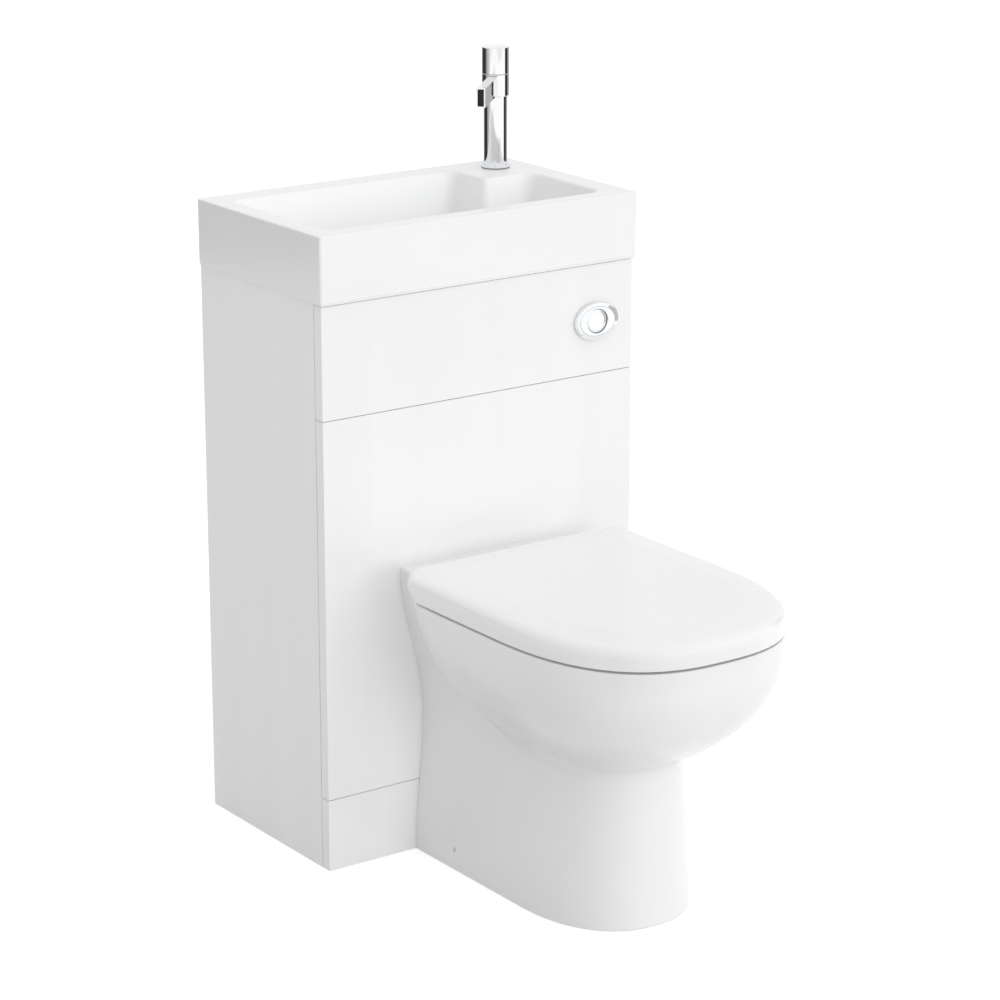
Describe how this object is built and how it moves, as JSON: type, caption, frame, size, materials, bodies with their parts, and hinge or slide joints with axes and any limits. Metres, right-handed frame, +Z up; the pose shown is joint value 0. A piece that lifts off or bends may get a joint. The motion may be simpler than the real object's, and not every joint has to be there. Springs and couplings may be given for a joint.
{
  "type": "toilet with basin on the cistern",
  "caption": "Back-to-cabinet toilet with a slim cistern cabinet that carries a rectangular basin and mixer tap on its top, white with chrome fittings.",
  "frame": {"origin": "middle of the footprint on the floor, half way between the wall and the front of the seat", "axes": "+Z up, +Y towards the wall, so the user stands at -Y, +X to the right seen from the front"},
  "size_m": [0.5, 0.81, 1.022],
  "materials": {
    "white_board": "gloss",
    "white_china": "gloss",
    "seat_plastic": "gloss",
    "chrome": "polished",
    "zinc_steel": "satin",
    "brass": "satin",
    "rubber": "matte",
    "white_plastic": "satin",
    "blue_plastic": "satin",
    "clear_tube": "gloss",
    "soft_buffer": "matte"
  },
  "bodies": {
    "fixed": {"left_side_panel": "white_board", "right_side_panel": "white_board", "top_front_rail": "white_board", "middle_front_rail": "white_board", "lower_front_rail": "white_board", "upper_back_rail": "white_board", "lower_back_rail": "white_board", "flush_panel": "white_board", "lower_front_panel": "white_board", "plinth_panel": "white_board", "panel_clips": "white_plastic", "cam_fittings": "zinc_steel", "wall_brackets": "zinc_steel", "basin": "white_china", "basin_waste": "chrome", "waste_washer": "rubber", "waste_backnut": "brass", "trap_nuts": "white_plastic", "bottle_trap": "white_plastic", "trap_cup": "white_plastic", "tap_body": "chrome", "tap_base_seal": "rubber", "tap_spout": "chrome", "spout_insert": "rubber", "tap_cartridge": "brass", "tap_backnut": "brass", "cistern_tank": "white_plastic", "cistern_lid": "white_plastic", "cistern_screws": "zinc_steel", "flush_valve_cage": "white_plastic", "flush_actuator": "white_plastic", "flush_valve_nut": "white_plastic", "fill_valve": "white_plastic", "fill_valve_nut": "white_plastic", "flush_pipe": "white_plastic", "flush_pipe_nut": "white_plastic", "flush_cone_seal": "rubber", "button_bezel": "chrome", "button_housing": "white_plastic", "button_backnut": "white_plastic", "air_tubes": "clear_tube", "pan": "white_china", "floor_brackets": "white_plastic", "side_screws": "zinc_steel", "screw_caps": "white_china", "hinge_posts": "chrome", "hinge_pins": "zinc_steel", "hinge_wing_nuts": "white_plastic"},
    "plug": {"waste_plug": "chrome"},
    "tap_carrier": {"cartridge_carrier": "white_plastic"},
    "tap_top": {"tap_cap": "chrome"},
    "full_button": {"full_flush_button": "chrome"},
    "half_button": {"half_flush_button": "chrome"},
    "flush_stem": {"flush_valve_stem": "blue_plastic", "flush_valve_seal": "rubber"},
    "float": {"fill_float": "blue_plastic"},
    "seat": {"seat_ring": "seat_plastic", "seat_buffers": "soft_buffer"},
    "lid": {"seat_lid": "seat_plastic", "lid_buffers": "soft_buffer"}
  },
  "joints": [
    {"name": "plug_click", "type": "slide", "parent": "fixed", "child": "plug", "axis": [0, 0, 1], "range_m": [0, 0.008]},
    {"name": "tap_turn", "type": "hinge", "parent": "fixed", "child": "tap_carrier", "pos_m": [0.196, 0.354, 0.985], "axis": [0, 0, 1], "range_deg": [-45, 45]},
    {"name": "tap_lift", "type": "slide", "parent": "tap_carrier", "child": "tap_top", "axis": [0, 0, 1], "range_m": [0, 0.008]},
    {"name": "full_flush_press", "type": "slide", "parent": "fixed", "child": "full_button", "axis": [0, 1, 0], "range_m": [0, 0.004], "stiffness_N_per_m": 400},
    {"name": "half_flush_press", "type": "slide", "parent": "fixed", "child": "half_button", "axis": [0, 1, 0], "range_m": [0, 0.004], "stiffness_N_per_m": 300},
    {"name": "flush_stem_lift", "type": "slide", "parent": "fixed", "child": "flush_stem", "axis": [0, 0, 1], "range_m": [0, 0.02]},
    {"name": "float_rise", "type": "slide", "parent": "fixed", "child": "float", "axis": [0, 0, 1], "range_m": [0, 0.06]},
    {"name": "seat_hinge", "type": "hinge", "parent": "fixed", "child": "seat", "pos_m": [0, 0.035, 0.4115], "axis": [-1, 0, 0], "range_deg": [0, 95]},
    {"name": "lid_hinge", "type": "hinge", "parent": "seat", "child": "lid", "pos_m": [0, 0.035, 0.4115], "axis": [1, 0, 0], "range_deg": [-97, 0]}
  ],
  "couplings": [
    {"joint": "flush_stem_lift", "follows": "full_flush_press", "ratio": 5}
  ]
}
